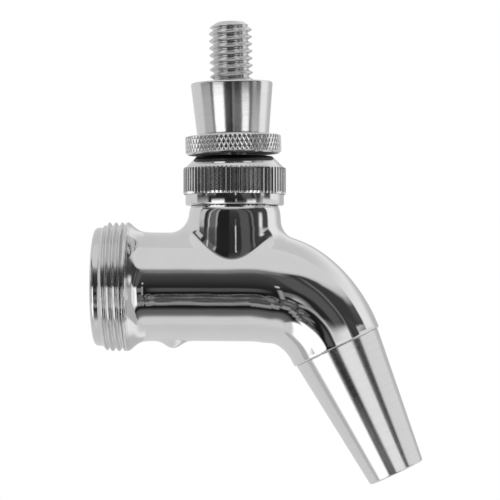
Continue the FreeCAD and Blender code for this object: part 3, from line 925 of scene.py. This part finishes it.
def profile(tree, angle, stops):
    """Light against elevation, from (degrees, light) pairs joined by straight lines."""
    light = stops[0][1]
    for (low, first), (high, second) in zip(stops, stops[1:]):
        step = range_node(tree, angle, low, high, 0.0, second - first, smooth=False)
        light = math_node(tree, "ADD", light, step)
    return light


def make_studio():
    """White light tent with a dark front opening, two tall soft lights and grey side walls."""
    world = bpy.data.worlds.new("studio")
    bpy.context.scene.world = world
    world.use_nodes = True
    tree = world.node_tree
    tree.nodes.clear()
    direction = tree.nodes.new("ShaderNodeTexCoord").outputs["Generated"]
    split = tree.nodes.new("ShaderNodeSeparateXYZ")
    tree.links.new(direction, split.inputs[0])
    x, y, z = split.outputs
    to_degrees = 180.0 / math.pi
    azimuth = math_node(tree, "MULTIPLY",
                        math_node(tree, "ARCTAN2", x, math_node(tree, "MULTIPLY", y, -1.0)), to_degrees)
    elevation = math_node(tree, "MULTIPLY", math_node(tree, "ARCSINE", z), to_degrees)
    aside = math_node(tree, "ABSOLUTE", azimuth)

    # the low part of the front opening is rippled, with grey streaks between its two dark bands
    lengthwise = tree.nodes.new("ShaderNodeCombineXYZ")
    tree.links.new(math_node(tree, "MULTIPLY", azimuth, 0.30), lengthwise.inputs[0])
    tree.links.new(math_node(tree, "MULTIPLY", elevation, 0.13), lengthwise.inputs[1])
    ripple = math_node(tree, "SUBTRACT", noise_node(tree, lengthwise.outputs[0], 1.0, 2.0, 0.5), 0.5)
    low_band = math_node(tree, "MULTIPLY", range_node(tree, elevation, -48.0, -36.0),
                         range_node(tree, elevation, -13.0, -19.0))
    wavy = math_node(tree, "ADD", elevation,
                     math_node(tree, "MULTIPLY", ripple, math_node(tree, "MULTIPLY", low_band, 24.0)))
    front = profile(tree, wavy, [
        (-90, 0.74), (-71, 0.755), (-67, 0.56), (-63, 0.22), (-58, 0.14), (-52, 0.125), (-48, 0.05),
        (-45, 0.010), (-42, 0.015), (-40, 0.24), (-35, 0.36), (-32, 0.07), (-28, 0.115), (-18.5, 0.12),
        (-16.5, 0.011), (-8, 0.014), (0, 0.022), (5, 0.033), (12, 0.050), (21, 0.066), (26, 0.10),
        (29.5, 0.235), (33.5, 0.27), (36.5, 0.64), (40, 0.765), (90, 0.76)])
    streak = tree.nodes.new("ShaderNodeCombineXYZ")
    tree.links.new(math_node(tree, "MULTIPLY", azimuth, 0.16), streak.inputs[0])
    tree.links.new(math_node(tree, "MULTIPLY", wavy, 0.45), streak.inputs[1])
    streaks = range_node(tree, noise_node(tree, streak.outputs[0], 1.0, 2.0, 0.6), 0.38, 0.66, -0.88, 1.3)
    low_grey = math_node(tree, "MULTIPLY", range_node(tree, wavy, -31.0, -28.0),
                         range_node(tree, wavy, -16.5, -18.5))
    front = math_node(tree, "MULTIPLY", front,
                      math_node(tree, "ADD", 1.0, math_node(tree, "MULTIPLY", low_grey, streaks)))
    sides = profile(tree, elevation, [
        (-90, 0.70), (-66, 0.70), (-60, 0.50), (-3, 0.50), (3, 0.070), (20, 0.060), (31, 0.10),
        (36, 0.60), (41, 0.77), (90, 0.78)])
    walls = range_node(tree, azimuth, -60.0, 60.0, 0.72, 0.96)
    tent = range_node(tree, elevation, -50.0, -85.0)
    back = blend(tree, math_node(tree, "MAXIMUM", tent, range_node(tree, elevation, 25.0, 60.0)), walls, 0.68)
    light = blend(tree, range_node(tree, aside, 58.0, 63.0), front, sides)
    light = blend(tree, range_node(tree, aside, 92.0, 98.0), light, back)
    # middle, half width and soft edge of each panel as (across, up), its light, and its lean
    panels = [
        ((180, -12), (50, 36), (14, 10), 0.56),
        ((-36.5, -19), (16, 17.5), (2.5, 2.5), 1.40),
        ((-52, -56), (26, 14), (6, 4), 0.72),
        ((-51, -38), (23, 13), (4, 4), 1.40),
        ((43.5, -19), (11.5, 17.5), (3, 2.5), 1.20),
        ((-58, -12), (2.2, 7), (2, 3), 0.30),
        ((61, -18), (3.0, 17), (2, 3), 0.18),
        ((-11, -7.5), (9, 3.5), (4, 1.5), 0.10),
        ((20, -8), (12, 4), (3, 2), 0.21),
        ((6.5, -10), (1.9, 9), (1.2, 1.5), 0.36),
        ((5.5, 5.6), (1.5, 1.8), (0.9, 0.6), 0.70),
        ((46, 28), (29, 6.5), (7, 2.0), 0.05),
        ((24, 14), (11, 15), (3, 6), 0.105, -0.7),
        ((45, 14), (2.5, 15), (2, 6), 0.18, -0.7),
        ((52, 14), (3.5, 15), (1.5, 6), 0.05, -0.7),
        ((-24, 14), (14, 12), (3, 4), 0.018),
        ((-50, 17), (14, 13), (2, 3), 0.15, 0.5),
        ((-84, 15), (9, 10), (1.5, 2), 0.62, 0.5),
        ((-68, 17), (2.5, 13), (1.2, 3), 0.03, 0.5),
        ((-57, 17), (1.6, 13), (1.0, 3), 0.65, 0.7),
        ((-40, 14), (2.2, 9), (1.2, 3), 0.42, 0.4),
        ((72, 7.5), (4.5, 4.5), (4, 4.5), 0.95),
    ]
    for place in panels:
        light = panel(tree, light, azimuth, elevation, *place)
    seen = tree.nodes.new("ShaderNodeLightPath").outputs["Is Camera Ray"]
    shade = tree.nodes.new("ShaderNodeBackground")
    tree.links.new(blend(tree, seen, light, 1.0), shade.inputs["Color"])
    tree.links.new(shade.outputs[0], tree.nodes.new("ShaderNodeOutputWorld").inputs["Surface"])
    bpy.context.scene.view_settings.view_transform = "Standard"


def make_camera():
    """Long lens, square to the side but for a few degrees round and a little from below."""
    data = bpy.data.cameras.new("camera")
    camera = bpy.data.objects.new("camera", data)
    bpy.context.scene.collection.objects.link(camera)
    aim = Vector((0.0344, 0.0, 0.0081))
    distance = 0.640
    across, up = math.radians(3.0), math.radians(-1.3)
    back = Vector((math.sin(across) * math.cos(up), -math.cos(across) * math.cos(up), math.sin(up)))
    camera.location = aim + back * distance
    camera.rotation_mode = "QUATERNION"
    camera.rotation_quaternion = (-back).to_track_quat("-Z", "Y")
    data.sensor_width = 36.0
    data.lens = 208.3
    data.clip_start = 0.01
    data.clip_end = 20.0
    bpy.context.scene.camera = camera


make_floor()
make_cards()
make_studio()
make_camera()
